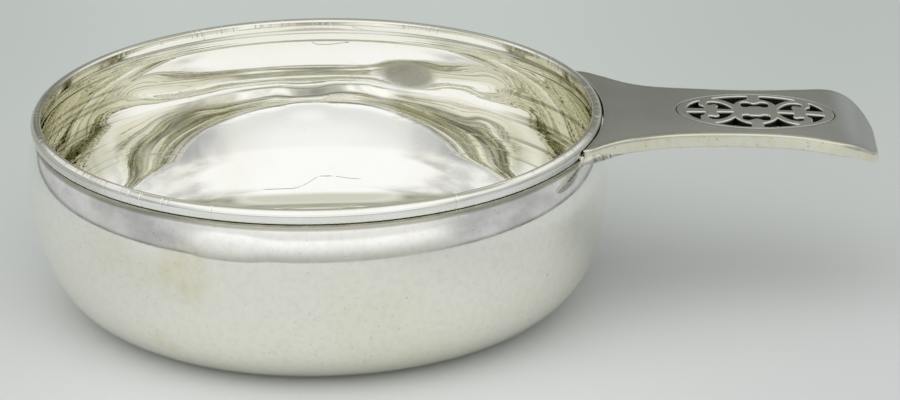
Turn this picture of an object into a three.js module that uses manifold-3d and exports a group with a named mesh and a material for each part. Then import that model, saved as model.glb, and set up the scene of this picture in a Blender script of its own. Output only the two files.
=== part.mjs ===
// Silver porringer: a raised bowl with an applied rim, and one flat handle with a pierced oval panel.
// Millimetres, +Z up. The origin is the middle of the underside, and the handle points along +X.
import * as THREE from 'three';
import { mergeVertices } from 'three/addons/utils/BufferGeometryUtils.js';
import Module from 'manifold-3d';

const wasm = await Module();
wasm.setup();

// Bowl
const HEIGHT = 44.5;
const BASE_RADIUS = 41;
const BELLY_RADIUS = 64.6;
const BELLY_HEIGHT = 30;
const NECK_RADIUS = 62.4;
const NECK_HEIGHT = HEIGHT - 4.1;
const LIP_HEIGHT = HEIGHT - 1.6;
const WALL = 0.9;
const TURN_POWER = 2.5;
const SHOULDER_POWER = 2.2;
const TURN_STEPS = 11;
const SHOULDER_STEPS = 4;
const ROUND_SEGMENTS = 72;

// Rim moulding and the solder under it
const RIM_RADIUS = 63.5;
const RIM_INNER_RADIUS = 61.15;
const RIM_DEPTH = 3.35;
const RIM_SOLDER_DEPTH = 0.6;
const RIM_SOLDER_REACH = 0.45;
const RIM_SOLDER_HOLLOW = 0.35;
const SOLDER_FILM = 0.05;
const MOULDING_SEGMENTS = 4;
const BEAD_RISE = 1.5;
const BEAD_REACH = 1.4;
const BEAD_INNER_FALL = 0.6;

// Handle
const ROOT_START = 54;
const TIP_END = 124.6;
const HANDLE_STEPS = 40;
const TIP_CROWDING = 1.6;
const TOP_POINTS = 9;
const EDGE_ROUND = 0.35;
const CURVE_STEPS = 12;
const FIT_GAP = 0.3;
const MERGE_DISTANCE = 1e-4;

// Half-width, height of the top edge, thickness and crown of the handle, each as (distance along X, value)
const HALF_WIDTHS = [
  [ROOT_START, 26.3], [60, 25.7], [64, 22.7], [70, 18.5], [78, 15.8], [90, 14.6], [100, 14.7],
  [108, 15.9], [114, 17.5], [117, 17.5], [120, 16.1], [123, 12.6], [TIP_END, 7],
];
const TOP_HEIGHTS = [
  [ROOT_START, 43.3], [64, 43.3], [72, 42.8], [82, 42.6], [92, 42.2], [105, 41.6],
  [113, 40.9], [117, 40.1], [120, 38.7], [122.5, 36.6], [TIP_END, 34.3],
];
const THICKNESSES = [[ROOT_START, 3.0], [72, 3.2], [110, 3.2], [117, 3.0], [TIP_END, 2.1]];
const CROWNS = [[ROOT_START, 0.3], [85, 0.3], [115, 0.3], [TIP_END, 0]];

// Oval window in the handle and the panel in it
const OVAL_X = 97.6;
const OVAL_LONG = 17.8;
const OVAL_SHORT = 11.2;
const LEDGE = 1.4;
const PANEL_THICKNESS = 2.2;
const SEAT_DEPTH = PANEL_THICKNESS + FIT_GAP;
const OVAL_SEGMENTS = 56;

// Openwork of the panel: its outer oval and the metal left between the openings
const FRET_LONG = 15.6;
const FRET_SHORT = 10;
const UPRIGHT_HALF = 1.4;
const CROSSBAR_HALF = 0.95;
const CROSSBAR_FLARE = 0.15;
const RING_LONG = 8.1;
const RING_SHORT = 5.1;
const CURVE_SEGMENTS = 5;

// Solder fillet round the root of the handle
const ROOT_FILLET_RADIUS = 0.55;
const ROOT_FILLET_SIDES = 6;
const ROOT_FILLET_STEPS = 36;
const ROOT_X = 58.5;
const ROOT_FILLET_BEND = 1.2;

const SILVER = { color: 0xd9d7cf, roughness: 0.14, metalness: 1 };
const SATIN_SILVER = { color: 0xa9a8a2, roughness: 0.34, metalness: 1 };
const SOLDER = { color: 0x8f8c80, roughness: 0.42, metalness: 1 };

// A smooth value along a row of (distance, value) pairs
function along(row) {
  const curve = new THREE.SplineCurve(row.map(([x, value]) => new THREE.Vector2(x, value)));
  const table = curve.getPoints(row.length * CURVE_STEPS);
  return (x) => {
    const next = table.findIndex((point) => point.x >= x);
    if (next === -1) {
      return table[table.length - 1].y;
    }
    if (next === 0) {
      return table[0].y;
    }
    const low = table[next - 1];
    const high = table[next];
    return THREE.MathUtils.mapLinear(x, low.x, high.x, low.y, high.y);
  };
}

const halfWidth = along(HALF_WIDTHS);
const topEdge = along(TOP_HEIGHTS);
const thickness = along(THICKNESSES);
const crown = along(CROWNS);

// Height of the handle's top surface, arched across its width
function handleTop(x, y) {
  const across = Math.min(1, Math.abs(y) / halfWidth(x));
  return topEdge(x) + crown(x) * (1 - across * across);
}

// Closed triangles with only their shared corners, ready for joining and cutting
function toSolid(geometry) {
  const bare = geometry.index ? geometry.clone() : mergeVertices(geometry);
  bare.deleteAttribute('normal');
  bare.deleteAttribute('uv');
  const merged = mergeVertices(bare, MERGE_DISTANCE);
  return new wasm.Manifold(new wasm.Mesh({
    numProp: 3,
    vertProperties: new Float32Array(merged.attributes.position.array),
    triVerts: new Uint32Array(merged.index.array),
  }));
}

function toGeometry(solid) {
  const mesh = solid.getMesh();
  const geometry = new THREE.BufferGeometry();
  geometry.setAttribute('position', new THREE.BufferAttribute(mesh.vertProperties, 3));
  geometry.setIndex(new THREE.BufferAttribute(mesh.triVerts, 1));
  geometry.computeVertexNormals();
  return geometry;
}

// A profile of (radius, height) points turned about the bowl's axis
function turned(points) {
  const profile = points.map(([radius, height]) => new THREE.Vector2(radius, height));
  return new THREE.LatheGeometry(profile, ROUND_SEGMENTS).rotateX(Math.PI / 2);
}

// The bowl's wall from the edge of the base to the neck, drawn in by a distance
function wallCurve(inset) {
  const points = [];
  const belly = BELLY_RADIUS - inset;
  for (let step = 0; step <= TURN_STEPS; step += 1) {
    const angle = (step / TURN_STEPS) * Math.PI / 2;
    const outward = Math.sin(angle) ** (2 / TURN_POWER);
    const upward = 1 - Math.cos(angle) ** (2 / TURN_POWER);
    points.push([
      BASE_RADIUS + (belly - BASE_RADIUS) * outward,
      inset + (BELLY_HEIGHT - inset) * upward,
    ]);
  }
  for (let step = 1; step <= SHOULDER_STEPS; step += 1) {
    const rise = step / SHOULDER_STEPS;
    points.push([
      belly - (BELLY_RADIUS - NECK_RADIUS) * rise ** SHOULDER_POWER,
      BELLY_HEIGHT + (NECK_HEIGHT - BELLY_HEIGHT) * rise,
    ]);
  }
  return points;
}

function bowlGeometry() {
  const outside = wallCurve(0);
  const inside = wallCurve(WALL).reverse();
  const lip = [[NECK_RADIUS, LIP_HEIGHT], [NECK_RADIUS - WALL, LIP_HEIGHT]];
  return turned([[0, 0], ...outside, ...lip, ...inside, [0, WALL]]);
}

// Points on a stretch of an oval in the profile, about its centre
function arc(centre, reach, rise, from, to) {
  const oval = new THREE.EllipseCurve(...centre, reach, rise, from, to);
  return oval.getPoints(MOULDING_SEGMENTS).map((point) => [point.x, point.y]);
}

// Half-round face of the moulding, from its lower edge over the top to its inner edge
function mouldingFace() {
  const neck = NECK_RADIUS + SOLDER_FILM;
  const middle = HEIGHT - BEAD_RISE;
  const crest = RIM_RADIUS - BEAD_REACH;
  const lower = arc([neck, middle], RIM_RADIUS - neck, RIM_DEPTH - BEAD_RISE, -Math.PI / 2, 0);
  const upper = arc([crest, middle], BEAD_REACH, BEAD_RISE, 0, Math.PI / 2);
  const inner = arc(
    [crest, HEIGHT - BEAD_INNER_FALL], crest - RIM_INNER_RADIUS, BEAD_INNER_FALL, Math.PI / 2, Math.PI,
  );
  return [...lower, ...upper.slice(1), ...inner.slice(1)];
}

function rimMouldingGeometry() {
  const seat = LIP_HEIGHT + SOLDER_FILM;
  const neck = NECK_RADIUS + SOLDER_FILM;
  const face = mouldingFace();
  return turned([...face, [RIM_INNER_RADIUS, seat], [neck, seat], face[0]]);
}

// Hollow face of the solder in the corner under the moulding, from the neck up to the moulding
function rimSolderFace() {
  const top = HEIGHT - RIM_DEPTH - SOLDER_FILM;
  const neck = NECK_RADIUS + SOLDER_FILM;
  const hollow = [neck + RIM_SOLDER_REACH * RIM_SOLDER_HOLLOW, top - RIM_SOLDER_DEPTH * RIM_SOLDER_HOLLOW];
  return [[neck, top - RIM_SOLDER_DEPTH], hollow, [neck + RIM_SOLDER_REACH, top]];
}

function rimSolderGeometry() {
  const face = rimSolderFace();
  const top = face[face.length - 1][1];
  return turned([...face, [face[0][0], top], face[0]]);
}

// The outside of the bowl, solder and moulding grown by a gap, as one turned solid from the belly upwards
function bowlEnvelope(gap) {
  const shoulder = wallCurve(0).slice(TURN_STEPS);
  const solder = rimSolderFace();
  const reach = solder[solder.length - 1][0];
  const bead = mouldingFace().filter(([radius]) => radius > reach);
  const outside = [...shoulder, ...solder, ...bead].map(([radius, height]) => [radius + gap, height]);
  const above = HEIGHT + RIM_DEPTH;
  const last = outside[outside.length - 1][0];
  return toSolid(turned([[0, BELLY_HEIGHT], ...outside, [last, above], [0, above]]));
}

// Outline of the handle across its width at one distance along it, going round once
function handleSection(x) {
  const half = halfWidth(x);
  const depth = thickness(x);
  const flat = half - EDGE_ROUND;
  const points = [];
  for (let step = 0; step < TOP_POINTS; step += 1) {
    const y = THREE.MathUtils.lerp(-flat, flat, step / (TOP_POINTS - 1));
    points.push([y, handleTop(x, y)]);
  }
  const edge = topEdge(x);
  points.push([half, edge - EDGE_ROUND], [half, edge - depth + EDGE_ROUND]);
  for (let step = TOP_POINTS - 1; step >= 0; step -= 1) {
    const y = THREE.MathUtils.lerp(-flat, flat, step / (TOP_POINTS - 1));
    points.push([y, handleTop(x, y) - depth]);
  }
  points.push([-half, edge - depth + EDGE_ROUND], [-half, edge - EDGE_ROUND]);
  return points.map(([y, z]) => new THREE.Vector3(x, y, z));
}

// Closed skin over a row of sections that have the same number of points
function loft(sections) {
  const count = sections[0].length;
  const positions = sections.flat().flatMap((point) => [point.x, point.y, point.z]);
  const faces = [];
  for (let row = 0; row + 1 < sections.length; row += 1) {
    for (let column = 0; column < count; column += 1) {
      const here = row * count + column;
      const beside = row * count + (column + 1) % count;
      faces.push(here, here + count, beside, beside, here + count, beside + count);
    }
  }
  const last = sections.length - 1;
  const ends = [[sections[0], 0, false], [sections[last], last * count, true]];
  for (const [section, first, forward] of ends) {
    const middle = section.reduce((sum, point) => sum.add(point), new THREE.Vector3()).divideScalar(count);
    const centre = positions.length / 3;
    positions.push(middle.x, middle.y, middle.z);
    for (let column = 0; column < count; column += 1) {
      const a = first + column;
      const b = first + (column + 1) % count;
      faces.push(...(forward ? [centre, b, a] : [centre, a, b]));
    }
  }
  const geometry = new THREE.BufferGeometry();
  geometry.setAttribute('position', new THREE.Float32BufferAttribute(positions, 3));
  geometry.setIndex(faces);
  return geometry;
}

// Stations crowd together towards the curled end
function handleStations() {
  const stations = [];
  for (let step = 0; step <= HANDLE_STEPS; step += 1) {
    const share = step / HANDLE_STEPS;
    const eased = 1 - (1 - share) ** TIP_CROWDING;
    stations.push(THREE.MathUtils.lerp(ROOT_START, TIP_END, eased));
  }
  return stations;
}

function ovalPath(long, short, kind) {
  const oval = new THREE.EllipseCurve(OVAL_X, 0, long, short, 0, Math.PI * 2);
  return new kind(oval.getPoints(OVAL_SEGMENTS).slice(0, -1));
}

// An extruded shape laid on the handle's curved top, its underside a given depth below that surface
function laidOnHandle(shape, height, depth) {
  const geometry = new THREE.ExtrudeGeometry(shape, {
    depth: height, bevelEnabled: false, curveSegments: CURVE_SEGMENTS,
  });
  const position = geometry.attributes.position;
  for (let index = 0; index < position.count; index += 1) {
    const surface = handleTop(position.getX(index), position.getY(index));
    position.setZ(index, position.getZ(index) + surface - depth);
  }
  return geometry;
}

function handleSolid() {
  const blank = toSolid(loft(handleStations().map(handleSection)));
  const window = ovalPath(OVAL_LONG - LEDGE, OVAL_SHORT - LEDGE, THREE.Shape);
  const rebate = ovalPath(OVAL_LONG, OVAL_SHORT, THREE.Shape);
  rebate.holes.push(ovalPath(OVAL_LONG - 2 * LEDGE, OVAL_SHORT - 2 * LEDGE, THREE.Path));
  const through = toSolid(laidOnHandle(window, 4 * SEAT_DEPTH, 3 * SEAT_DEPTH));
  const seat = toSolid(laidOnHandle(rebate, 2 * SEAT_DEPTH, SEAT_DEPTH));
  return blank.subtract(bowlEnvelope(FIT_GAP)).subtract(through).subtract(seat);
}

// Opening beside the upright: under the outer oval, over the ring and the scroll
function crescentOpening(path, at) {
  const fretHeight = (p) => FRET_SHORT * Math.sqrt(1 - (p / FRET_LONG) ** 2);
  const ringHeight = (p) => RING_LONG * Math.sqrt(1 - (p / RING_SHORT) ** 2);
  path.moveTo(...at(UPRIGHT_HALF, fretHeight(UPRIGHT_HALF)));
  path.quadraticCurveTo(...at(5.6, 9.9), ...at(9.4, fretHeight(9.4) - 0.1));
  path.quadraticCurveTo(...at(6.5, 7.3), ...at(4.7, 4.1));
  path.quadraticCurveTo(...at(3.9, 6.6), ...at(UPRIGHT_HALF, ringHeight(UPRIGHT_HALF)));
  path.closePath();
}

// Comma-shaped opening: a long point towards the ring, and a round hook that curls over a small bud
function scrollOpening(path, at) {
  const tip = at(4.9, CROSSBAR_HALF - CROSSBAR_FLARE);
  path.moveTo(...tip);
  path.lineTo(...at(8.5, CROSSBAR_HALF));
  path.bezierCurveTo(...at(8.6, 2.2), ...at(7.7, 3.1), ...at(8.5, 3.7));
  path.bezierCurveTo(...at(9.2, 4.2), ...at(9.6, 3.4), ...at(10.4, 3.5));
  path.bezierCurveTo(...at(11.0, 4.6), ...at(10.2, 5.9), ...at(8.9, 5.7));
  path.bezierCurveTo(...at(7.2, 5.4), ...at(5.9, 3.6), ...tip);
}

// Three-cornered opening at the end of the oval, hollow on the side of the scroll
function endOpening(path, at) {
  path.moveTo(...at(15.3, CROSSBAR_HALF + 2 * CROSSBAR_FLARE));
  path.quadraticCurveTo(...at(14.7, 4.4), ...at(12.1, 6.2));
  path.quadraticCurveTo(...at(12.7, 4.6), ...at(12.3, 3.4));
  path.quadraticCurveTo(...at(11.2, 2.6), ...at(11.3, CROSSBAR_HALF + CROSSBAR_FLARE));
  path.closePath();
}

// Two lobes and a narrow middle, inside the ring, above or below the boss
function lobedOpening(path, at) {
  path.moveTo(...at(0, 4.9));
  for (const side of [1, -1]) {
    const lobe = (p, q) => at(side * p, q);
    const outward = [[0.8, 4.9], [1.1, 5.8], [1.9, 5.9]];
    const round = [[3.1, 5.9], [3.2, 4.6], [3.1, 3.6]];
    const inward = [[3.0, 2.3], [1.9, 2.2], [1.6, 2.6]];
    const middle = [[1.2, 3.0], [0.6, 2.9], [0, 2.9]];
    const run = [outward, round, inward, middle];
    if (side === 1) {
      run.forEach((bend) => path.bezierCurveTo(...bend.flatMap(([p, q]) => lobe(p, q))));
    } else {
      const stops = [[0, 4.9], ...run.flat()];
      for (let last = stops.length - 1; last > 0; last -= 3) {
        const bend = [stops[last - 1], stops[last - 2], stops[last - 3]];
        path.bezierCurveTo(...bend.flatMap(([p, q]) => lobe(p, q)));
      }
    }
  }
}

// The same openings in all four quarters, and the two lobed ones
function fretHoles() {
  const holes = [];
  const cut = (draw, across, up) => {
    const path = new THREE.Path();
    draw(path, (p, q) => [OVAL_X + across * p, up * q]);
    holes.push(path);
  };
  for (const up of [1, -1]) {
    for (const across of [1, -1]) {
      [crescentOpening, scrollOpening, endOpening].forEach((draw) => cut(draw, across, up));
    }
    cut(lobedOpening, 1, up);
  }
  return holes;
}

function piercedPanelGeometry() {
  const panel = ovalPath(OVAL_LONG - FIT_GAP, OVAL_SHORT - FIT_GAP, THREE.Shape);
  panel.holes.push(...fretHoles());
  return laidOnHandle(panel, PANEL_THICKNESS, PANEL_THICKNESS);
}

// Radius of the bowl's outside, bead included, at a height near the rim
function bowlOutside(height) {
  if (height > HEIGHT - RIM_DEPTH - RIM_SOLDER_DEPTH) {
    return RIM_RADIUS;
  }
  const rise = THREE.MathUtils.clamp((height - BELLY_HEIGHT) / (NECK_HEIGHT - BELLY_HEIGHT), 0, 1);
  return BELLY_RADIUS - (BELLY_RADIUS - NECK_RADIUS) * rise ** SHOULDER_POWER;
}

// Runs up one side of the root, down and under it, and up the other side, lying against the bowl
function rootFilletCurve() {
  const clear = FIT_GAP + ROOT_FILLET_RADIUS;
  const side = halfWidth(ROOT_X) + clear;
  const spot = (y, z) => {
    const radius = bowlOutside(z) + clear;
    return new THREE.Vector3(Math.sqrt(radius * radius - y * y), y, z);
  };
  const under = (y) => {
    const x = Math.sqrt(RIM_RADIUS * RIM_RADIUS - y * y);
    return handleTop(x, y) - thickness(x) - clear;
  };
  const upper = topEdge(ROOT_X) - 2 * EDGE_ROUND;
  const points = [spot(-side, upper), spot(-side, upper - ROOT_FILLET_BEND)];
  const width = halfWidth(ROOT_X) - ROOT_FILLET_BEND;
  for (const share of [-1, -0.6, -0.2, 0.2, 0.6, 1]) {
    points.push(spot(width * share, under(width * share)));
  }
  points.push(spot(side, upper - ROOT_FILLET_BEND), spot(side, upper));
  return new THREE.CatmullRomCurve3(points, false, 'centripetal');
}

function handleSolderGeometry(handle) {
  const section = new THREE.Shape();
  for (let side = 0; side < ROOT_FILLET_SIDES; side += 1) {
    const angle = (side / ROOT_FILLET_SIDES) * Math.PI * 2;
    const point = [ROOT_FILLET_RADIUS * Math.cos(angle), ROOT_FILLET_RADIUS * Math.sin(angle)];
    if (side === 0) {
      section.moveTo(...point);
    } else {
      section.lineTo(...point);
    }
  }
  section.closePath();
  const run = toSolid(new THREE.ExtrudeGeometry(section, {
    steps: ROOT_FILLET_STEPS, extrudePath: rootFilletCurve(),
  }));
  return toGeometry(run.subtract(bowlEnvelope(FIT_GAP)).subtract(handle));
}

function named(name, geometry, finish) {
  const mesh = new THREE.Mesh(geometry, new THREE.MeshStandardMaterial(finish));
  mesh.name = name;
  return mesh;
}

const handle = handleSolid();
const porringer = new THREE.Group();
porringer.add(
  named('bowl', bowlGeometry(), SILVER),
  named('rim_moulding', rimMouldingGeometry(), SILVER),
  named('rim_solder_seam', rimSolderGeometry(), SOLDER),
  named('handle', toGeometry(handle), SATIN_SILVER),
  named('pierced_panel', piercedPanelGeometry(), SATIN_SILVER),
  named('handle_solder_seam', handleSolderGeometry(handle), SOLDER),
);

export default porringer;
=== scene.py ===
"""Silver porringer: a hand-raised bowl with an applied rim, and one flat handle with a pierced oval panel."""

import math

import bpy
import numpy as np
from mathutils import Matrix, Vector
from mathutils.geometry import delaunay_2d_cdt


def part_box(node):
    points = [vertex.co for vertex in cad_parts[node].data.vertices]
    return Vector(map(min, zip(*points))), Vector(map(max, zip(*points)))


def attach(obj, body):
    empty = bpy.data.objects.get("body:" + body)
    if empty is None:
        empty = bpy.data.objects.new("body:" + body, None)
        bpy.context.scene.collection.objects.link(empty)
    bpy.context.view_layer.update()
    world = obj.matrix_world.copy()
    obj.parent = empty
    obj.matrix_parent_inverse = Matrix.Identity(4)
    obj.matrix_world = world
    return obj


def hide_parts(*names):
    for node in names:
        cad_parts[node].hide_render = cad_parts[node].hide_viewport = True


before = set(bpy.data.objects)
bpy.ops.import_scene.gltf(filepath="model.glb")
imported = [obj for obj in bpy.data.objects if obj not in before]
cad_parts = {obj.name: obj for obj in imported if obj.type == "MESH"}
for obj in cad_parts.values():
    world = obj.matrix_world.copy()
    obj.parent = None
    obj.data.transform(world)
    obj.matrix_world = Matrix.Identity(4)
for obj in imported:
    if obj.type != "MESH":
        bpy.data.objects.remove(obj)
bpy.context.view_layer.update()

# Sizes are in millimetres, as the drawing gives them, and a mesh is made in metres
MM = 0.001
MERGE_DISTANCE = 1e-6
TINY = 1e-9


def node_size(name, axis, end):
    """One coordinate of a node's box, in millimetres."""
    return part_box(name)[end][axis] / MM


# Bowl, its belly drawn in a hair so that the waves stay inside the drawing
WAVE_ROOM = 0.02
BELLY_RADIUS = node_size("bowl", 1, 1) - WAVE_ROOM
LIP_HEIGHT = node_size("bowl", 2, 1)
BASE_RADIUS = 41.0
BELLY_HEIGHT = 30.0
NECK_RADIUS = 62.4
WALL = 0.9
TURN_POWER = 2.5
SHOULDER_POWER = 2.2
FLOOR_STEPS = 14
TURN_STEPS = 46
SHOULDER_STEPS = 22
ROUND_STEPS = 300
TURNED_SHARP = math.radians(40)

# Thicker metal that the raising leaves inside the turn
INNER_SWELL = 1.9
SWELL_TOP = 30.0
SWELL_FOOT = 14.0

# Low ridges inside the lip as (height, rise)
LIP_RIDGES = [(39.6, 0.15), (41.2, 0.17)]
RIDGE_HALF = 0.7
RIDGES_FROM = 38.6
RIDGE_STEPS = 28

# Hammer waves of the wall and finer ripples that run round it, and how much of them each face shows
WAVE_DEPTH = 0.45
WAVE_SCALE = 20.0
WAVE_FLATNESS = 2.6
WAVE_DETAIL = 0.5
RIPPLE_DEPTH = 0.24
RIPPLE_SCALE = 2.6
RIPPLE_FLATNESS = 54.0
RIPPLE_DETAIL = 1.5
OUTSIDE_WAVE = 0.11
FLOOR_WAVE = 0.2
WAVE_FADE = 7.0
CALM_TOP = 27.0
RIPPLE_FOOT = 25.0
RIPPLE_FULL = 35.0

# Shares of (wave, inside, ripple) at a profile point that has none
SMOOTH = (0.0, 0.0, 0.0)

# Dents as (turn in degrees, height, half angle in degrees, half height, depth), outward where positive
INSIDE_DENTS = [
    (70.5, 31, 9, 6, -0.15), (120, 27, 10, 5, 0.1), (92, 24, 6, 4.5, 0.12), (50, 26, 7, 5, 0.12),
    (130, 15, 32, 13, 0.3), (50, 15, 32, 13, 0.3),
]
WALL_DENTS = [(193, 12, 62, 20, -1.4), (252, 36.0, 8, 4, -0.1)]

# Rim moulding and the solder under it
RIM_TOP = node_size("rim_moulding", 2, 1)
RIM_RADIUS = node_size("rim_moulding", 1, 1)
RIM_FOOT = node_size("rim_moulding", 2, 0)
RIM_INNER_RADIUS = 61.15
BEAD_RISE = 1.5
BEAD_REACH = 1.4
BEAD_INNER_FALL = 0.6
BEAD_STEPS = 8
NECK_DROP = 4.1
NECK_HEIGHT = RIM_TOP - NECK_DROP
SOLDER_FILM = 0.05
RIM_SOLDER_DEPTH = 0.6
RIM_SOLDER_REACH = 0.45

# Handle, each row as (distance along X, value)
ROOT_START = 54.0
TIP_END = node_size("handle", 0, 1)
HALF_WIDTHS = [
    (ROOT_START, 26.3), (60, 25.7), (64, 22.7), (70, 18.5), (78, 15.8), (90, 14.6), (100, 14.7),
    (108, 15.9), (114, 17.5), (117, 17.5), (120, 16.1), (123, 12.6), (TIP_END, 7),
]
TOP_HEIGHTS = [
    (ROOT_START, 43.3), (64, 43.3), (72, 42.8), (82, 42.6), (92, 42.2), (105, 41.6),
    (113, 40.9), (117, 40.1), (120, 38.7), (122.5, 36.6), (TIP_END, 34.3),
]
THICKNESSES = [(ROOT_START, 3.0), (72, 3.2), (110, 3.2), (117, 3.0), (TIP_END, 2.1)]
CROWNS = [(ROOT_START, 0.3), (85, 0.3), (115, 0.3), (TIP_END, 0)]
ROOT_GAP = 0.25
ROOT_TOUCH = 0.01
ROOT_ROUNDS = 40
ROOT_POINTS = 60
SIDE_POINTS = 120
TIP_POINTS = 14
TIP_CROWDING = 1.5
EDGE_ROUND = 0.42
BROW_WIDTH = 3.2
EDGE_STEPS = 4
PLATE_GRID = 0.9
PLATE_SHARP = math.radians(38)

# Filling of a flat region: the rows of its grid, the room left at its border and how many points go at once
TRIANGLES_INSIDE = 1
ROW_SHARE = 0.866
BORDER_SHARE = 0.45
BATCH = 256

# Marks of a plate's points as (side, edge, recess)
PLAIN_MARKS = (0.0, 0.0, 0.0)
DARK_MARKS = (0.0, 0.0, 1.0)

# Oval window in the handle and the panel in it
OVAL_X = 97.6
OVAL_LONG = 17.8
OVAL_SHORT = 11.2
LEDGE = 1.4
OVAL_GAP = 0.24
OVAL_STEPS = 144
PANEL_THICKNESS = 2.2
SEAT_GAP = 0.1
SEAT_DEPTH = PANEL_THICKNESS + SEAT_GAP
PANEL_EDGE = 0.3
DARK_DEPTH = 0.62
WINDOW_EDGE = 0.07
PANEL_GRID = 0.6

# Openwork of the panel
FRET_LONG = 15.6
FRET_SHORT = 10.0
UPRIGHT_HALF = 1.4
CROSSBAR_HALF = 0.95
CROSSBAR_FLARE = 0.15
RING_LONG = 8.1
RING_SHORT = 5.1
CRESCENT_HORN = 9.4
HORN_GAP = 0.1
UPRIGHT_STEPS = 4
CURVE_STEPS = 10

# Solder run at the root: a tail as (X, girth), a corner as (drop, girth), then (share of width, girth)
SOLDER_TAIL = [(67.5, 0.15), (65.5, 0.4), (63.5, 0.55), (61.5, 0.9), (60.0, 0.95)]
SOLDER_CORNER = [(2.7, 0.75), (1.2, 0.6), (2.4, 0.7)]
SOLDER_UNDER = [(1.0, 0.85), (0.93, 0.8), (0.8, 0.6), (0.6, 0.5), (0.4, 0.55), (0.2, 0.5), (0.0, 0.5)]
SOLDER_SINK = 0.3
SOLDER_PERCH = 0.8
SOLDER_STEP = 0.25
SOLDER_LUMP = 0.55
SOLDER_LUMP_SCALE = 650.0
SOLDER_LUMP_DETAIL = 3.0
SOLDER_SIDES = 14

# Camera at the photograph's viewing angle
CAMERA_DISTANCE = 1600.0
CAMERA_ELEVATION = math.radians(21.41)
CAMERA_YAW = math.radians(1.13)
CAMERA_PITCH = math.radians(20.65)
CAMERA_ROLL = math.radians(-0.82)
CAMERA_LENS = 285.4
CAMERA_SENSOR = 36.0
CAMERA_NEAR = 0.05
CAMERA_FAR = 20.0
GLOSSY_BOUNCES = 12

# Light tent
TENT_RADIUS = 270.0
TENT_HEIGHT = 420.0
TENT_STEPS = 96
TENT_WHITE = (1.0, 1.0, 0.995, 1)
TENT_HORIZON = (0.44, 0.45, 0.42, 1)
TENT_STRIP = (0.80, 0.81, 0.79, 1)
TENT_SIDE = (0.52, 0.53, 0.53, 1)
TENT_HIGH_SIDE = (0.80, 0.80, 0.77, 1)
TENT_HIND_SIDE = (0.98, 0.98, 0.94, 1)
TENT_UPPER = (0.44, 0.44, 0.35, 1)
TENT_OVERHEAD = (0.66, 0.66, 0.57, 1)
TENT_FOOT = (0.20, 0.20, 0.19, 1)
TENT_SWEEP = (0.48, 0.50, 0.48, 1)
TENT_BACK = (0.285, 0.29, 0.25, 1)
TENT_SEAM = (0.17, 0.17, 0.165, 1)

# Heights over which the tent's tones change, as (start, end), then the values there unless 0 and 1
PANEL_RISE = (0.0, 85.0)
STRIP_RISE = (85.0, 100.0)
STRIP_FALL = (150.0, 110.0)
FOOT_RISE = (0.0, 14.0)
HIGH_SIDE_RISE = (100.0, 140.0)
HIND_SIDE_RISE = (140.0, 180.0)
UPPER_RISE = (330.0, 390.0)
BACK_RISE = (50.0, 110.0)
BACK_NARROWING = (140.0, 190.0, 0.0, 0.2)
PANEL_WIDENING = (170.0, 240.0, 0.0, 0.35)
HIGH_FRONT_RISE = (340.0, 415.0)
ROOF_RISE = 0.99 * TENT_HEIGHT

# The same from front to back, where 1 is the front of the tent and -1 its back
HIND_SIDE_WAY = (-0.1, -0.3)
UPPER_WAY = (0.05, -0.2)
BACK_WAY = (-0.6, -0.88)
PANEL_WAY = (0.58, 0.84)
HIGH_FRONT_WAY = (0.0, 0.4)

# Middle of the roof, paler in front than behind
OVERHEAD_REACH = (160.0, 105.0)
OVERHEAD_TURN = (-30.0, 30.0)

# Curved seam at the front of the roof, its bends as (start X, end X, shift at the start, shift at the end)
SEAM_REACH = 150.0
SEAM_WIDTH = 4.6
SEAM_CORE = 1.84
SEAM_ENDS = (115.0, 100.0)
SEAM_BENDS = [(50.0, -10.0, -80.0, 80.0), (-30.0, -110.0, 0.0, -50.0)]

# World and floor
ROOM_LIGHT = (0.46, 0.465, 0.465, 1)
KEY_LIGHT = (1.7, 1.72, 1.72, 1)
KEY_WAY = Vector((-0.22, -0.75, 0.52)).normalized()
KEY_SPREAD = (0.1, 1.0)
WORLD_MAP_SIZE = 64
BACKDROP = (0.56, 0.60, 0.575, 1)
FLOOR_HALF = 3000.0
FLOOR_DROP = 0.05
FLOOR_NEAR = (0.72, 0.735, 0.72, 1)
FLOOR_FAR = (0.57, 0.61, 0.58, 1)
FLOOR_SHADE = (0.0, 0.0, 0.0, 1)
FLOOR_ROUGHNESS = 0.9
FLOOR_SHEEN = 0.1
FLOOR_DEPTH = (-60.0, 200.0)
RIGHT_SHADE = (30.0, 130.0, 0.0, 0.12)
LEFT_SHADE = (-30.0, -90.0, 0.0, 0.1)
LEFT_SHADE_DEPTH = (-120.0, -40.0)

# Colours of the silver, of what has settled on it, and of painted shade and painted reflection
BOWL_CLEAN = (0.96, 0.958, 0.935, 1)
BOWL_FILM = (0.90, 0.885, 0.77, 1)
GROOVE = (0.40, 0.39, 0.30, 1)
TAN_FILM_AND_REFLECTION = (0.775, 0.765, 0.64, 1)
REFLECTED_BAND = (0.34, 0.325, 0.235, 1)
SIDE_CREAM = (0.86, 0.85, 0.73, 1)
STAIN = (0.80, 0.70, 0.42, 1)
PIT_AND_SHADE = (0.16, 0.15, 0.12, 1)
SATIN_CLEAN = (0.66, 0.68, 0.66, 1)
SATIN_WORN = (0.59, 0.61, 0.59, 1)
SATIN_LINE = (0.52, 0.53, 0.51, 1)
DULL_GREY = (0.40, 0.40, 0.36, 1)
BLACK_SHADE_AND_TARNISH = (0.02, 0.018, 0.013, 1)
SOLDER_LIGHT = (0.88, 0.87, 0.80, 1)
SOLDER_DARK = (0.50, 0.49, 0.42, 1)

# Dull oval on the flattened spot inside, as (place, half length, how many times longer than high)
DULL_SPOT = ((20.8, 58.0, 31.0), 8.0, 2.0)
SPOT_CORE = 0.6

# Stains on the outside as (place, radius, strength)
STAINS = [((-29.4, -56.7, 28.4), 9.5, 0.55), ((-34.0, -50.0, 9.0), 5.0, 0.4)]
STAIN_CORE = 0.2

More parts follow.
